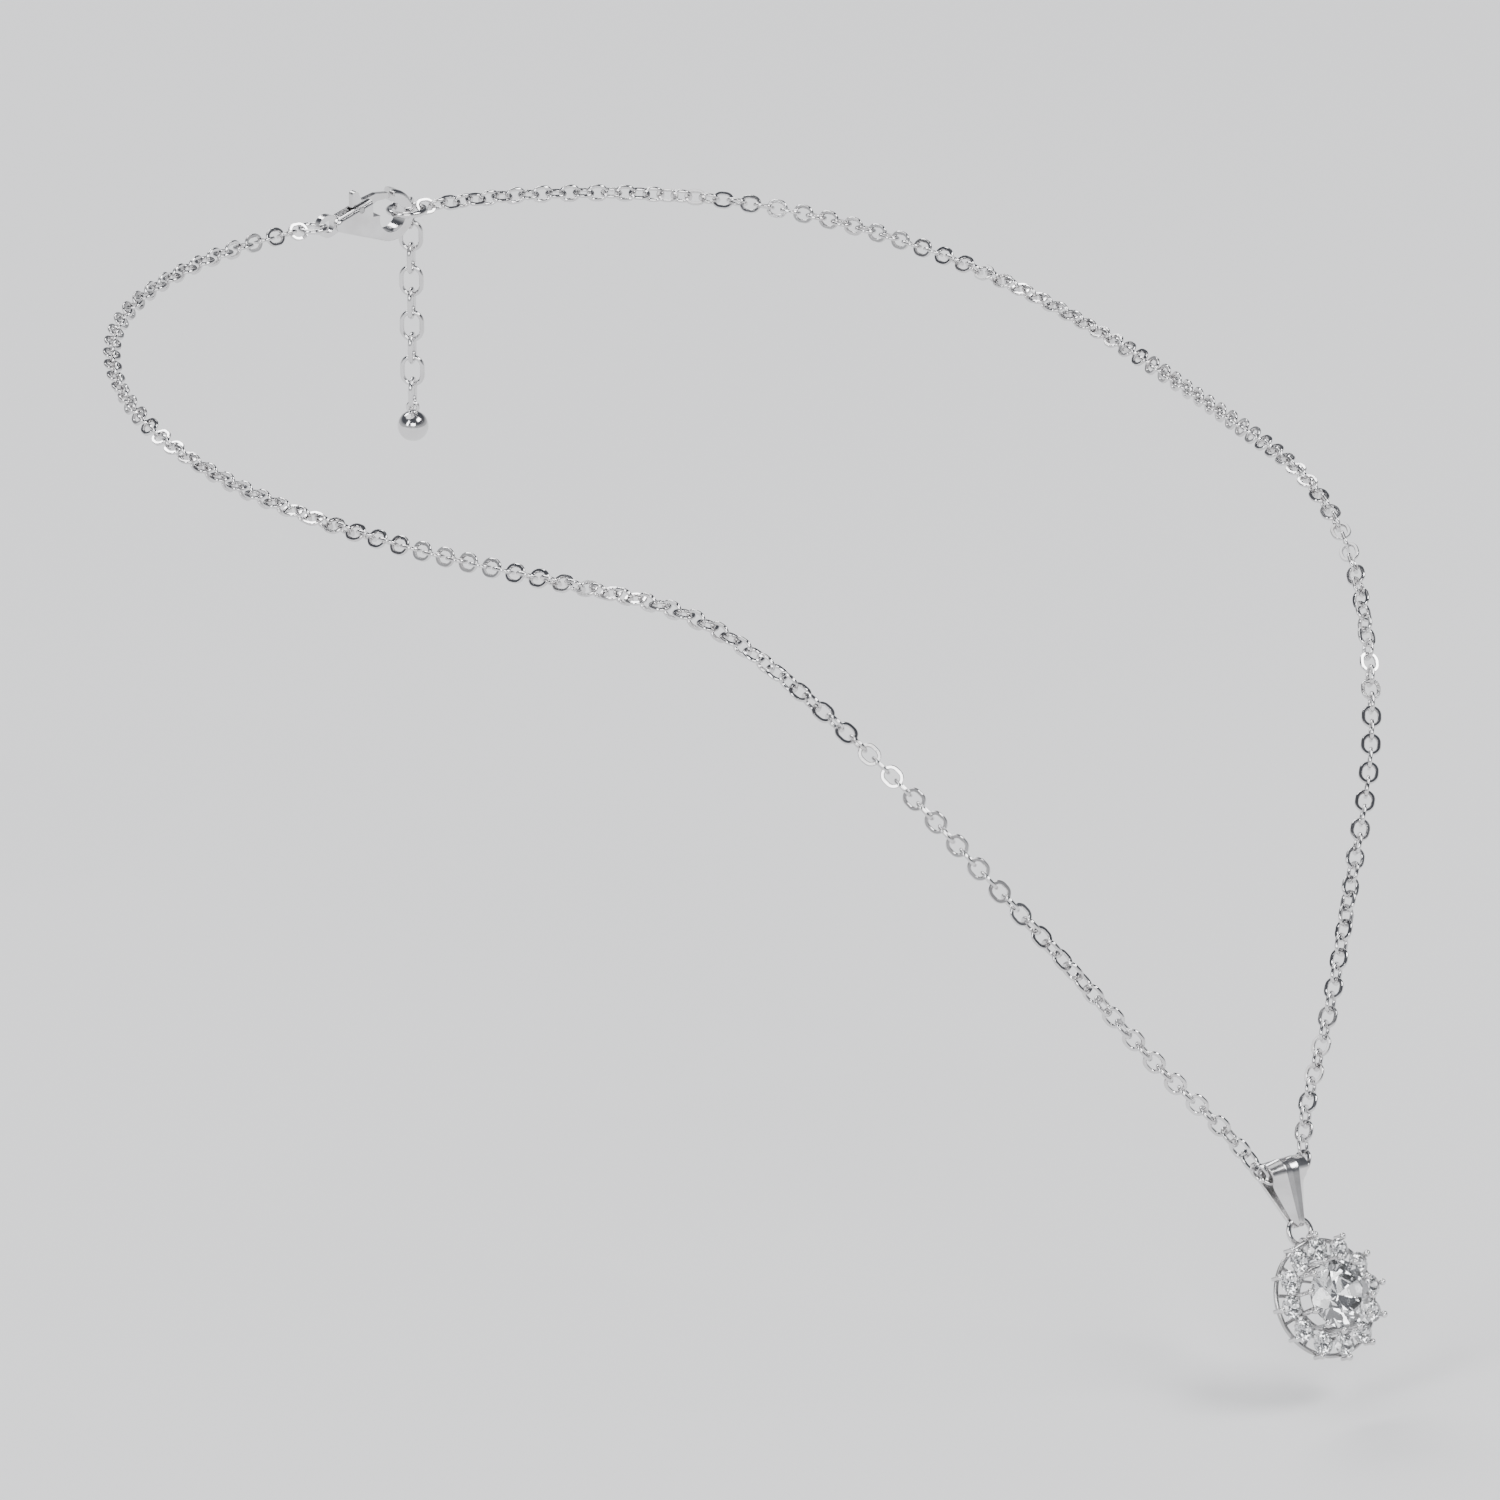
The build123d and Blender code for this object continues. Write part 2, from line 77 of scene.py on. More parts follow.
FLOOR_DROP = 4 * MM  # below the lowest point of the necklace
FLOOR_SIZE = 2.4
LIGHTS_AIM = Vector((0, -0.05, 0))
OVERHEAD_TILT = (math.radians(-14), math.radians(-10), 0)


def make_camera():
    data = bpy.data.cameras.new("camera")
    data.lens = LENS
    data.clip_start = 0.05
    data.clip_end = 20
    camera = bpy.data.objects.new("camera", data)
    camera.location = VIEWPOINT
    camera.rotation_euler = (LOOK_AT - VIEWPOINT).to_track_quat("-Z", "Y").to_euler()
    bpy.context.scene.collection.objects.link(camera)
    bpy.context.scene.camera = camera


def softbox(name, place, size, power, colour=(1, 1, 1)):
    """A rectangular area light at a place, facing the middle of the necklace."""
    data = bpy.data.lights.new(name, "AREA")
    data.shape = "RECTANGLE"
    data.size, data.size_y = size
    data.energy = power
    data.color = colour
    light = bpy.data.objects.new(name, data)
    light.location = place
    light.rotation_euler = (LIGHTS_AIM - Vector(place)).to_track_quat("-Z", "Y").to_euler()
    bpy.context.scene.collection.objects.link(light)


def overhead(strength, spread):
    """An even, soft light from almost straight above."""
    data = bpy.data.lights.new("overhead", "SUN")
    data.energy = strength
    data.angle = spread
    light = bpy.data.objects.new("overhead", data)
    light.rotation_euler = OVERHEAD_TILT
    bpy.context.scene.collection.objects.link(light)


def make_studio():
    """Three softboxes in front and a long one behind, in a room that is pale low down and dim above."""
    softbox("key", (0.48, -0.55, 0.85), (0.60, 0.36), 8.5)
    softbox("side", (-0.85, -0.15, 0.50), (0.22, 0.60), 4.0, (0.97, 0.985, 1.0))
    softbox("front", (-0.70, -1.10, 0.62), (0.85, 0.50), 10.0)
    softbox("back", (0.15, 0.80, 0.70), (0.80, 0.20), 6.0)
    overhead(1.1, math.radians(50))
    world = bpy.data.worlds.new("studio")
    world.use_nodes = True
    tree = world.node_tree
    direction = tree.nodes.new("ShaderNodeTexCoord")
    height = tree.nodes.new("ShaderNodeSeparateXYZ")
    ramp = tree.nodes.new("ShaderNodeValToRGB")
    tree.links.new(direction.outputs["Generated"], height.inputs["Vector"])
    tree.links.new(height.outputs["Z"], ramp.inputs["Fac"])
    tree.links.new(ramp.outputs["Color"], tree.nodes["Background"].inputs["Color"])
    low, high = ramp.color_ramp.elements
    low.position, low.color = 0.10, (0.68, 0.69, 0.71, 1)
    high.position, high.color = 0.38, (0.10, 0.105, 0.12, 1)
    bpy.context.scene.world = world


def make_floor():
    data = bpy.data.meshes.new("floor")
    half = FLOOR_SIZE / 2
    level = cad_box[0].z - FLOOR_DROP
    corners = [(-half, -half, level), (half, -half, level), (half, half, level), (-half, half, level)]
    data.from_pydata(corners, [], [(0, 1, 2, 3)])
    floor = bpy.data.objects.new("floor", data)
    bpy.context.scene.collection.objects.link(floor)
    material = bpy.data.materials.new("floor_paper")
    material.use_nodes = True
    shader = material.node_tree.nodes["Principled BSDF"]
    shader.inputs["Base Color"].default_value = (0.86, 0.86, 0.87, 1)
    shader.inputs["Roughness"].default_value = 0.9
    data.materials.append(material)


# ---------------------------------------------------------------- materials
class Nodes:
    """A material's node tree, with short ways to add and join nodes."""

    def __init__(self, name):
        self.material = bpy.data.materials.new(name)
        self.material.use_nodes = True
        self.tree = self.material.node_tree
        self.shader = self.tree.nodes["Principled BSDF"]
        self.place = self.add("ShaderNodeTexCoord").outputs["Object"]

    def add(self, kind, **inputs):
        node = self.tree.nodes.new(kind)
        for key, value in inputs.items():
            node.inputs[key].default_value = value
        return node

    def join(self, output, target):
        self.tree.links.new(output, target)

    def noise(self, scale, detail=4.0, roughness=0.5):
        node = self.add("ShaderNodeTexNoise", Scale=scale, Detail=detail, Roughness=roughness)
        self.join(self.place, node.inputs["Vector"])
        return node.outputs["Fac"]

    def ramp(self, factor, stops):
        """A colour ramp with (position, grey or colour) stops."""
        node = self.add("ShaderNodeValToRGB")
        ramp = node.color_ramp
        while len(ramp.elements) < len(stops):
            ramp.elements.new(0.5)
        for element, (position, colour) in zip(ramp.elements, stops):
            element.position = position
            element.color = (*colour, 1) if isinstance(colour, tuple) else (colour, colour, colour, 1)
        self.join(factor, node.inputs["Fac"])
        return node.outputs["Color"]

    def bump(self, height, strength, distance):
        node = self.add("ShaderNodeBump", Strength=strength, Distance=distance)
        self.join(height, node.inputs["Height"])
        self.join(node.outputs["Normal"], self.shader.inputs["Normal"])


def polished_silver(name, tone=1.0, gloss=0.10, wear=0.06):
    """Polished silver: faint tarnish clouds, a fine polishing grain and small handling marks."""
    nodes = Nodes(name)
    nodes.shader.inputs["Metallic"].default_value = 1.0
    clouds = nodes.noise(420, 5)
    dark, light = (0.78 * tone, 0.765 * tone, 0.765 * tone), (0.92 * tone, 0.915 * tone, 0.92 * tone)
    nodes.join(nodes.ramp(clouds, [(0.32, dark), (0.62, light)]), nodes.shader.inputs["Base Color"])
    grain = nodes.noise(2600, 6, 0.65)
    nodes.join(nodes.ramp(grain, [(0.3, gloss), (0.75, gloss + wear)]), nodes.shader.inputs["Roughness"])
    nodes.bump(grain, 0.10, 0.02 * MM)
    return nodes.material


def clear_stone(name):
    """Colourless cubic zirconia, polished to a point, with the faintest cloud inside the colour."""
    nodes = Nodes(name)
    shader = nodes.shader
    shader.inputs["Transmission Weight"].default_value = 0.96
    shader.inputs["IOR"].default_value = 2.16
    tints = [(0.3, (0.965, 0.975, 0.99)), (0.7, (0.995, 0.998, 1.0))]
    nodes.join(nodes.ramp(nodes.noise(300, 2), tints), shader.inputs["Base Color"])
    haze = nodes.noise(1800, 3)
    nodes.join(nodes.ramp(haze, [(0.35, 0.0), (0.9, 0.035)]), shader.inputs["Roughness"])
    return nodes.material


def spring_steel(name):
    """Satin spring steel with a drawn grain."""
    nodes = Nodes(name)
    nodes.shader.inputs["Metallic"].default_value = 1.0
    grain = nodes.noise(3500, 4)
    nodes.join(nodes.ramp(grain, [(0.3, 0.40), (0.7, 0.55)]), nodes.shader.inputs["Base Color"])
    nodes.join(nodes.ramp(grain, [(0.3, 0.25), (0.7, 0.38)]), nodes.shader.inputs["Roughness"])
    return nodes.material


SILVER = polished_silver("silver_polished", 0.82, 0.09, 0.06)
LINK_SILVER = polished_silver("silver_links", 0.78, 0.08, 0.08)
BAIL_SILVER = polished_silver("silver_bail", 0.80, 0.15, 0.12)
# The gallery and basket wires under the stones get a much darker silver tone: painted shade, for the dark lines
# between the stones.
SHADE_DARKENED_SILVER = polished_silver("silver_painted_shade", 0.55, 0.18, 0.12)
STONE = clear_stone("stone_clear")
STEEL = spring_steel("steel_spring")


# ---------------------------------------------------------------- mesh helpers
SHARP = math.radians(27)
WIRE_SHARP = math.radians(50)


def add_piece(name, vertices, faces, body, material, slot, sharp=SHARP):
    """A mesh piece with smooth shading, except over edges sharper than the given angle."""
    data = bpy.data.meshes.new(name)
    data.from_pydata([tuple(v) for v in vertices], [], [tuple(f) for f in faces])
    data.validate()
    data.shade_smooth()
    data.set_sharp_from_angle(angle=sharp)
    data.materials.append(material)
    piece = bpy.data.objects.new(name, data)
    bpy.context.scene.collection.objects.link(piece)
    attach(piece, body)
    return piece


def moved(vertices, matrix):
    """Vertices under a 4x4 matrix."""
    matrix = np.array(matrix)
    return np.asarray(vertices) @ matrix[:3, :3].T + matrix[:3, 3]


def joined(parts):
    """One (vertices, faces) from several."""
    vertices, faces, count = [], [], 0
    for part_vertices, part_faces in parts:
        vertices.append(np.asarray(part_vertices))
        faces += [tuple(index + count for index in face) for face in part_faces]
        count += len(part_vertices)
    return np.concatenate(vertices), faces


def grid_faces(rows, columns):
    """Quads of a grid that closes on itself both ways."""
    return [
        (
            row * columns + column,
            row * columns + (column + 1) % columns,
            (row + 1) % rows * columns + (column + 1) % columns,
            (row + 1) % rows * columns + column,
        )
        for row in range(rows)
        for column in range(columns)
    ]


def wire_section(radius, sides, flat=1.0):
    """Points round a wire's section; flat below 1 cuts its two sides off at that share of the radius."""
    points = []
    for side in range(sides):
        angle = 2 * math.pi * (side + 0.5) / sides
        height = max(-flat, min(flat, math.sin(angle)))
        points.append((radius * math.cos(angle), radius * height))
    return points


def oval_link(length, width, wire, flat=1.0, sides=16, steps=14):
    """A closed wire link in the XY plane, long axis along X."""
    bend = (width - wire) / 2
    half = length / 2 - wire / 2 - bend
    section = wire_section(wire / 2, sides, flat)
    vertices = []
    for end in (1, -1):
        for step in range(steps + 1):
            angle = math.pi * (step / steps - 0.5)
            out = np.array((end * math.cos(angle), end * math.sin(angle), 0))
            centre = np.array((end * half, 0, 0)) + out * bend
            vertices += [centre + out * a + np.array((0, 0, b)) for a, b in section]
    return np.array(vertices), grid_faces(2 * (steps + 1), sides)


def round_ring(radius, wire, steps=72, sides=20):
    """A ring of wire in the XY plane."""
    vertices = []
    for step in range(steps):
        angle = 2 * math.pi * step / steps
        out = np.array((math.cos(angle), math.sin(angle), 0))
        vertices += [out * (radius + a) + np.array((0, 0, b)) for a, b in wire_section(wire / 2, sides)]
    return np.array(vertices), grid_faces(steps, sides)


def turned(profile, sides=24):
    """A closed solid turned about Z from (radius, height) points; both ends lie on the axis."""
    vertices = [(0, 0, profile[0][1])]
    for radius, height in profile[1:-1]:
        for side in range(sides):
            angle = 2 * math.pi * side / sides
            vertices.append((radius * math.cos(angle), radius * math.sin(angle), height))
    vertices.append((0, 0, profile[-1][1]))
    rows, last = len(profile) - 2, len(vertices) - 1
    faces = [(0, 1 + (side + 1) % sides, 1 + side) for side in range(sides)]
    for row in range(rows - 1):
        for side in range(sides):
            a, b = 1 + row * sides + side, 1 + row * sides + (side + 1) % sides
            faces.append((a, b, b + sides, a + sides))
    top = 1 + (rows - 1) * sides
    faces += [(top + side, top + (side + 1) % sides, last) for side in range(sides)]
    return np.array(vertices), faces


def basis(x, y, z, origin):
    """The matrix whose columns are the given axes and origin."""
    rows = [(x[i], y[i], z[i], origin[i]) for i in range(3)]
    return np.array([*rows, (0, 0, 0, 1)])


# ---------------------------------------------------------------- reading the CAD nodes
def islands(node):
    """The separate solids of a CAD node: a list of (triangles x 3 x 3) arrays."""
    data = frame["nodes"][node].data
    data.calc_loop_triangles()
    points = np.zeros(len(data.vertices) * 3)
    data.vertices.foreach_get("co", points)
    points = points.reshape(-1, 3)
    corners = np.zeros(len(data.loop_triangles) * 3, dtype=int)
    data.loop_triangles.foreach_get("vertices", corners)
    _, same = np.unique(np.round(points / 1e-7).astype(np.int64), axis=0, return_inverse=True)
    triangles = same.reshape(-1)[corners].reshape(-1, 3)
    label = np.arange(same.max() + 1)
    while True:
        lowest = label[triangles].min(axis=1)
        new = label.copy()
        np.minimum.at(new, triangles.reshape(-1), np.repeat(lowest, 3))
        new = new[new]
        if (new == label).all():
            break
        label = new
    owner = label[triangles[:, 0]]
    places = points[corners].reshape(-1, 3, 3)
    return [places[owner == group] for group in np.unique(owner)]


def principal_frame(triangles):
    """The 4x4 frame of one symmetric solid: X along its longest way, Z along its thinnest."""
    edges_a, edges_b = triangles[:, 1] - triangles[:, 0], triangles[:, 2] - triangles[:, 0]
    areas = np.linalg.norm(np.cross(edges_a, edges_b), axis=1) / 2
    middles = triangles.mean(axis=1)
    centre = (middles * areas[:, None]).sum(axis=0) / areas.sum()
    local = triangles - centre
    total = local.sum(axis=1)
    spread = np.einsum("n,nij,nik->jk", areas, local, local) + np.einsum("n,ni,nj->ij", areas, total, total)
    _, axes = np.linalg.eigh(spread)
    x, z = axes[:, 2], axes[:, 0]
    return basis(x, np.cross(z, x), z, centre)


# ---------------------------------------------------------------- chain
LINK = (2.15 * MM, 1.80 * MM, 0.38 * MM)
LINK_FLAT = 0.80  # the links' faces are cut flat, so that they flash
EXTENDER_LINK = (3.2 * MM, 2.4 * MM, 0.45 * MM)


def make_links(node, body, size, flat, **detail):
    """Fine links in the places of all the solids of a CAD node."""
    vertices, faces = oval_link(*size, flat, **detail)
    parts = [(moved(vertices, principal_frame(solid)), faces) for solid in islands(node)]
    piece = add_piece(node.replace("chain", "links"), *joined(parts), body, LINK_SILVER, "silver")
    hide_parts(node)


def make_chain():
    for body, nodes in frame["record"]["behaviour"]["bodies"].items():
        for node in nodes:
            if node.startswith("chain_"):
                make_links(node, body, LINK, LINK_FLAT)
    make_links("extender_chain", "extender", EXTENDER_LINK, 1.0)


# ---------------------------------------------------------------- the drop's own frame
RING_R = 1.15 * MM  # the jump ring's
RING_WIRE = 0.5 * MM
apex = np.array(joints["bail_swing"]["pos_m"])
ring_centre = np.array(joints["pendant_sway"]["pos_m"])
drop_front = np.array(joints["pendant_sway"]["axis"])
drop_up = np.cross(drop_front, (1, 0, 0))
drop_up /= np.linalg.norm(drop_up)
drop_up *= 1 if drop_up[2] > 0 else -1
DROP = basis((1, 0, 0), -drop_front, drop_up, apex)  # X right, Y back, Z up the drop


def in_drop(point):
    """A point of the frame in the drop's own coordinates."""
    return np.linalg.inv(DROP)[:3, :3] @ (np.asarray(point) - apex)


# ---------------------------------------------------------------- bail
BAIL_TUNNEL_R = 1.02 * MM
BAIL_TOE_R = 0.36 * MM
BAIL_WIDTH = 4.0 * MM
BAIL_TIP_WIDTH = 0.8 * MM
BAIL_TIP = -4.85 * MM
BAIL_SHOULDER = 0.2 * MM  # the sides run straight above this height
BAIL_WALL = 0.29 * MM
BAIL_RIDGE = 0.52 * MM
BAIL_GROOVE = 0.09 * MM  # the middle facet lies this far below its ridges
BAIL_WING = 0.42  # share of the gap behind the front leg that its side wings fold back over
BAIL_WING_RISE = 1.6 * MM  # the wings open out over this height below the shoulder
BAIL_TOE_DROP = 0.08 * MM  # how far the toe's middle hangs below the top of the jump ring
BAIL_BEVEL = 0.05 * MM
RIDGE_TOP = 0.66 * MM
RIDGE_TIP = 0.26 * MM
RIDGE_MAX_SHARE = 0.62  # the ridges stay within this share of the half width
CREST_TAPER = 0.45  # shares that the crest and the groove lose towards the tip
GROOVE_TAPER = 0.5
EDGE_THINNING = 0.35  # share of the wall that the bevels take off at the front's edges
FRONT_START = 0.15  # outward Y at which the ridges begin, and how far they take to rise
FRONT_BLEND = 0.9
TOE_TOP = -4.0 * MM  # below this height the back stays plain
BAIL_SHARP = math.radians(12)
BAIL_BEVEL_ABOVE = math.radians(14)
TUNNEL_STEPS = 40
TOE_STEPS = 12
LEG_STEPS = 14


def side_arc(middle, radius, start, end, steps):
    """Rows (y, z, outward y, outward z) along an arc of the bail's side view."""
    rows = []
    for step in range(steps + 1):
        angle = start + (end - start) * step / steps
        out_y, out_z = math.cos(angle), math.sin(angle)
        rows.append((radius * out_y, middle + radius * out_z, out_y, out_z))
    return rows


def side_leg(start, end):
    """Rows between two others, for one straight leg."""
    start, end = np.array(start), np.array(end)
    return [tuple(start + (end - start) * step / LEG_STEPS) for step in range(1, LEG_STEPS)]


def bail_loop():
    """Rows round the inside of the bail: over the tunnel, down the back, round the toe, up the front."""
    toe_z = in_drop(ring_centre)[2] + RING_R - BAIL_TOE_DROP
    lean = math.asin((BAIL_TUNNEL_R - BAIL_TOE_R) / -toe_z)
    tunnel = side_arc(0, BAIL_TUNNEL_R, math.pi + lean, -lean, TUNNEL_STEPS)
    toe = side_arc(toe_z, BAIL_TOE_R, -lean, lean - math.pi, TOE_STEPS)
    return tunnel + side_leg(tunnel[-1], toe[0]) + toe + side_leg(toe[-1], tunnel[0])


def smooth_step(value):
    value = max(0.0, min(1.0, value))
    return value * value * (3 - 2 * value)


def bail_section(y, z, out_y):
    """The section at a row, as (across, lift off the inside); only the front is ridged."""
    share = max(0.0, min(1.0, (BAIL_SHOULDER - z) / (BAIL_SHOULDER - BAIL_TIP)))
    half = (BAIL_WIDTH + (BAIL_TIP_WIDTH - BAIL_WIDTH) * share) / 2
    front = smooth_step((FRONT_START - out_y) / FRONT_BLEND) if z > TOE_TOP or out_y < 0 else 0.0
    crest = BAIL_WALL + (BAIL_RIDGE - BAIL_WALL) * front * (1 - CREST_TAPER * share)
    edge = BAIL_WALL * (1 - EDGE_THINNING * front)
    valley = crest - BAIL_GROOVE * front * (1 - GROOVE_TAPER * share)
    ridge = min(half * RIDGE_MAX_SHARE, RIDGE_TOP + (RIDGE_TIP - RIDGE_TOP) * share)
    wing = BAIL_WING * 2 * abs(y) * smooth_step((BAIL_SHOULDER - z) / BAIL_WING_RISE) if y < 0 else 0.0
    return [
        (-half, -wing),
        (-ridge, 0.0),
        (ridge, 0.0),
        (half, -wing),
        (half, edge - wing),
        (ridge, crest),
        (0.0, valley),
        (-ridge, crest),
        (-half, edge - wing),
    ]


def make_bail():
    """The folded bail: two ridges run down its front and meet at the toe, with a bevel to each side."""
    rows = [
        [(x, y + out_y * lift, z + out_z * lift) for x, lift in bail_section(y, z, out_y)]
        for y, z, out_y, out_z in bail_loop()
    ]
    vertices = moved([point for row in rows for point in row], DROP)
    faces = [face[::-1] for face in grid_faces(len(rows), len(rows[0]))]
    piece = add_piece("bail_fold", vertices, faces, "bail", BAIL_SILVER, "silver", BAIL_SHARP)
    bevel = piece.modifiers.new("edges", "BEVEL")
    bevel.width = BAIL_BEVEL
    bevel.segments = 3
    bevel.limit_method = "ANGLE"
    bevel.angle_limit = BAIL_BEVEL_ABOVE
    bevel.harden_normals = False
    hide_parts("bail")


# ---------------------------------------------------------------- rings
LOOP_R = 0.56 * MM
LOOP_WIRE = 0.40 * MM
KNOB = 0.13 * MM  # how far the solder stands proud where the jump ring is closed
KNOB_LENGTH = 0.26 * MM
KNOB_ANGLE = math.radians(-31)
CLASP_RING_WIRE = 0.5 * MM
END_RING_WIRE = 0.6 * MM


def make_jump_ring():
    vertices, faces = round_ring(RING_R, RING_WIRE, 96, 24)
    for vertex in vertices:
        angle = math.atan2(vertex[1], vertex[0])
        core = np.array((math.cos(angle), math.sin(angle), 0)) * RING_R
        swell = math.exp(-(((angle - KNOB_ANGLE) * RING_R / KNOB_LENGTH) ** 2))
        vertex += (vertex - core) / (RING_WIRE / 2) * KNOB * swell
    place = basis(DROP[:3, 0], DROP[:3, 2], -DROP[:3, 1], ring_centre)
    piece = add_piece("jump_ring_wire", moved(vertices, place), faces, "jump_ring", SILVER, "silver")
    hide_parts("jump_ring")


def make_pendant_loop():
    low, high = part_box("pendant_loop")
    place = basis(DROP[:3, 1], DROP[:3, 2], DROP[:3, 0], (low + high) / 2)
    vertices, faces = round_ring(LOOP_R, LOOP_WIRE, 64, 20)
    piece = add_piece("pendant_loop_wire", moved(vertices, place), faces, "pendant", SILVER, "silver")
    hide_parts("pendant_loop")


def make_level_ring(node, body, wire):
    """A ring that lies level in the place of its CAD node."""
    low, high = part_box(node)
    radius = (high.x - low.x - wire) / 2
    vertices, faces = round_ring(radius, wire)
    place = basis((1, 0, 0), (0, 1, 0), (0, 0, 1), (low + high) / 2)
    piece = add_piece(node + "_wire", moved(vertices, place), faces, body, SILVER, "silver")
    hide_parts(node)


# ---------------------------------------------------------------- cluster
HALO_COUNT = 12
HALO_R = 4.25 * MM
CENTRE_R = 3.0 * MM
HALO_STONE_R = 1.0 * MM
CENTRE_PROUD = 1.45 * MM
PRONG_R = 0.19 * MM
BALL_R = 0.31 * MM
BALL_START = math.radians(-52)
BALL_STEPS = 11
GAP = 0.02 * MM
GIRDLE = 0.04 * HALO_STONE_R  # the halo stones' girdle height
CROWN_RUN = 0.43 * HALO_STONE_R  # across their crowns, from girdle to table
CROWN_ANGLE = math.radians(34.5)
RAIL_WIRE = 0.44 * MM
RAIL_DEPTH = 0.95 * MM
BAR_THINNER = 0.04 * MM  # the bars' radius is this much less than the rails'
OUTER_R = HALO_R + HALO_STONE_R + PRONG_R + GAP
INNER_R = CENTRE_R + PRONG_R + GAP
SEAT_R = 2.12 * MM
SEAT_WIRE = 0.34 * MM
SEAT_DEPTH = 1.15 * MM
STRUT_R = 0.13 * MM
STRUT_COUNT = 6
STRUT_START = math.radians(-75)
HALF_STEP = math.pi / HALO_COUNT  # from a halo stone to the gap beside it
OUTER_TIP = 0.24 * MM  # heights of the balls' middles over the halo's girdles
INNER_TIP = CENTRE_PROUD + 0.30 * MM


def cluster_frame():
    """+Z to the viewer, +Y up the drop, origin in the plane of the halo's girdles."""
    solids = islands("halo_stones")
    middle = np.mean([principal_frame(solid)[:3, 3] for solid in solids], axis=0)
    girdle = min(in_drop(point)[1] for solid in solids for point in solid.reshape(-1, 3))
    crown = GIRDLE + CROWN_RUN * math.tan(CROWN_ANGLE)
    height = in_drop(middle)[2]
    origin = DROP[:3, 3] + DROP[:3, 1] * (girdle + crown) + DROP[:3, 2] * height
    return basis((1, 0, 0), DROP[:3, 2], -DROP[:3, 1], origin)


CLUSTER = cluster_frame()


def around(offset, count=HALO_COUNT):
    """Turns about the cluster's axis, one for each halo stone; X points outwards."""
    angles = [math.pi / 2 + offset + 2 * math.pi / count * index for index in range(count)]
    return [np.array(Matrix.Rotation(angle, 4, "Z")) for angle in angles]


def prong(foot, tip):
    """A wire prong whose end is melted to a ball, from foot to the ball's middle."""
    profile = [(0, foot), (PRONG_R * 0.85, foot), (PRONG_R, foot + 0.05 * MM)]
    join = tip - BALL_R * 0.80  # where the wire runs into the ball
    profile += [(PRONG_R, join - 0.10 * MM), (PRONG_R * 1.03, join - 0.02 * MM)]
    for step in range(1, BALL_STEPS):
        angle = BALL_START + (math.pi / 2 - BALL_START) * step / BALL_STEPS
        profile.append((BALL_R * math.cos(angle), tip + BALL_R * math.sin(angle)))
    profile.append((0, tip + BALL_R))
    return turned(profile, 20)


def make_prongs(name, node, radius, tip, offset):
    """A ring of prongs, all in one piece, that stand on the rails' level."""
    vertices, faces = prong(-RAIL_DEPTH, tip)
    out = np.array(Matrix.Translation((radius, 0, 0)))
    parts = [(moved(vertices, CLUSTER @ turn @ out), faces) for turn in around(offset)]
    piece = add_piece(name, *joined(parts), "pendant", SILVER, "silver")
    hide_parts(node)


def bar(start, end, radius, sides=12):
    """A straight round bar between two points."""
    way = Vector(end) - Vector(start)
    length = way.length
    profile = [(0, 0), (radius, 0), (radius, length), (0, length)]
    vertices, faces = turned(profile, sides)
    place = Matrix.Translation(start) @ way.to_track_quat("Z", "Y").to_matrix().to_4x4()
    return moved(vertices, place), faces


def make_gallery():
    rail_r = OUTER_R - PRONG_R - RAIL_WIRE / 2 - GAP
    inner_rail_r = INNER_R + PRONG_R + RAIL_WIRE / 2 + GAP
    level = np.array(Matrix.Translation((0, 0, -RAIL_DEPTH)))
    parts = []
    for radius in (rail_r, inner_rail_r):
        vertices, faces = round_ring(radius, RAIL_WIRE, 120, 16)
        parts.append((moved(vertices, CLUSTER @ level), faces))
    start, end = (inner_rail_r, 0, -RAIL_DEPTH), (rail_r, 0, -RAIL_DEPTH)
    vertices, faces = bar(start, end, RAIL_WIRE / 2 - BAR_THINNER)
    parts += [(moved(vertices, CLUSTER @ turn), faces) for turn in around(HALF_STEP)]
    name = "halo_gallery_rails"
    # the rails wear the darker silver that paints shade between the stones
    piece = add_piece(name, *joined(parts), "pendant", SHADE_DARKENED_SILVER, "silver", WIRE_SHARP)
    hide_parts("halo_gallery")


def make_basket():
    rail_r = INNER_R - PRONG_R - RAIL_WIRE / 2 - GAP
    seat_z = CENTRE_PROUD - SEAT_DEPTH
    parts = []
    for radius, wire, height in ((rail_r, RAIL_WIRE, -RAIL_DEPTH), (SEAT_R, SEAT_WIRE, seat_z)):
        vertices, faces = round_ring(radius, wire, 96, 16)
        parts.append((moved(vertices, CLUSTER @ np.array(Matrix.Translation((0, 0, height)))), faces))
    vertices, faces = bar((rail_r, 0, -RAIL_DEPTH), (SEAT_R, 0, seat_z), STRUT_R)
    parts += [(moved(vertices, CLUSTER @ turn), faces) for turn in around(STRUT_START, STRUT_COUNT)]
    name = "centre_basket_wires"
    # the basket wears the darker silver that paints shade between the stones
    piece = add_piece(name, *joined(parts), "pendant", SHADE_DARKENED_SILVER, "silver", WIRE_SHARP)
    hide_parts("centre_basket")


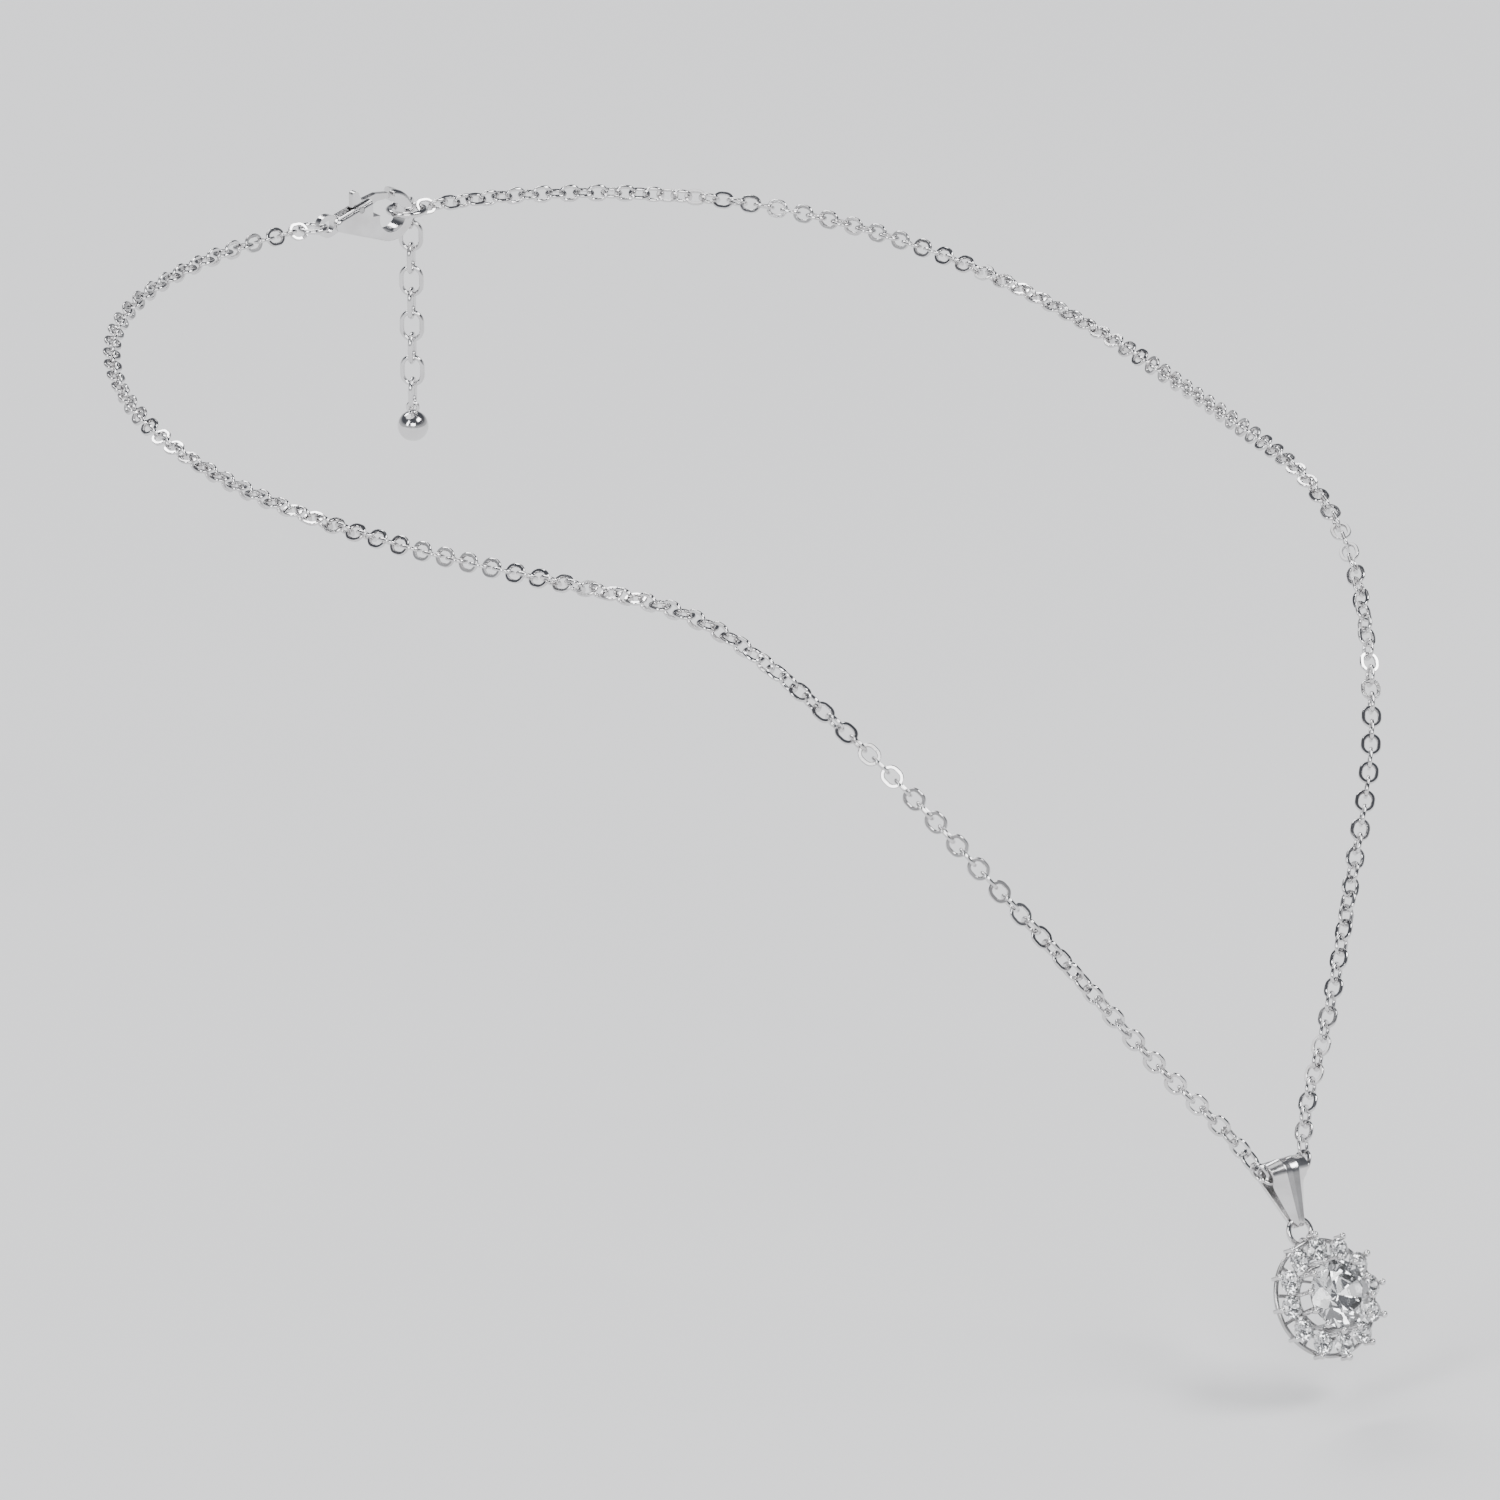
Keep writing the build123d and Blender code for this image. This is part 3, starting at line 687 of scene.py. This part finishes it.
def make_cluster():
    make_prongs("outer_prong_wires", "outer_prongs", OUTER_R, OUTER_TIP, 0)
    make_prongs("inner_prong_wires", "inner_prongs", INNER_R, INNER_TIP, HALF_STEP)
    make_gallery()
    make_basket()
    for node in ("centre_stone", "halo_stones"):
        wear(node, STONE)


def wear(node, material):
    """Gives a CAD node that stays its material."""
    data = frame["nodes"][node].data
    data.materials.clear()
    data.materials.append(material)


# ---------------------------------------------------------------- clasp and bead
def make_clasp():
    make_level_ring("clasp_ring", "nape_loop", CLASP_RING_WIRE)
    make_level_ring("end_ring", "nape_loop", END_RING_WIRE)
    for node in ("clasp_body", "clasp_lever"):
        wear(node, SILVER)
    for node in ("clasp_pivot_pin", "clasp_spring"):
        wear(node, STEEL)


BEAD_R = 1.5 * MM
BEAD_EYE_R = 0.50 * MM
BEAD_EYE_WIRE = 0.35 * MM
BEAD_STEPS = 29
BEAD_END = math.radians(75)  # the ball's outline stops here, at the collar
COLLAR = [(0.36 * MM, 1.50 * MM), (0.30 * MM, 1.56 * MM), (0, 1.57 * MM)]


def make_bead():
    """The polished end bead, with a turned collar under its eye."""
    low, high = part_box("extender_bead")
    x, y = (low.x + high.x) / 2, (low.y + high.y) / 2
    start = -math.pi / 2
    angles = [start + (BEAD_END - start) * step / BEAD_STEPS for step in range(1, BEAD_STEPS + 1)]
    profile = [(0, -BEAD_R)]
    profile += [(BEAD_R * math.cos(angle), BEAD_R * math.sin(angle)) for angle in angles]
    ball, ball_faces = turned(profile + COLLAR, 48)
    ball = ball + (x, y, low.z + BEAD_R)
    eye, eye_faces = round_ring(BEAD_EYE_R, BEAD_EYE_WIRE, 48, 16)
    across, up = Vector(joints["extender_bead_swing"]["axis"]), Vector((0, 0, 1))
    eye_centre = (x, y, high.z - BEAD_EYE_R - BEAD_EYE_WIRE / 2)
    eye = moved(eye, basis(across, up, across.cross(up), eye_centre))
    vertices, faces = joined([(ball, ball_faces), (eye, eye_faces)])
    piece = add_piece("extender_end_bead", vertices, faces, "extender_bead", SILVER, "silver")
    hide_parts("extender_bead")


# ---------------------------------------------------------------- the whole necklace
make_camera()
make_studio()
make_floor()
make_chain()
make_bail()
make_jump_ring()
make_pendant_loop()
make_cluster()
make_clasp()
make_bead()
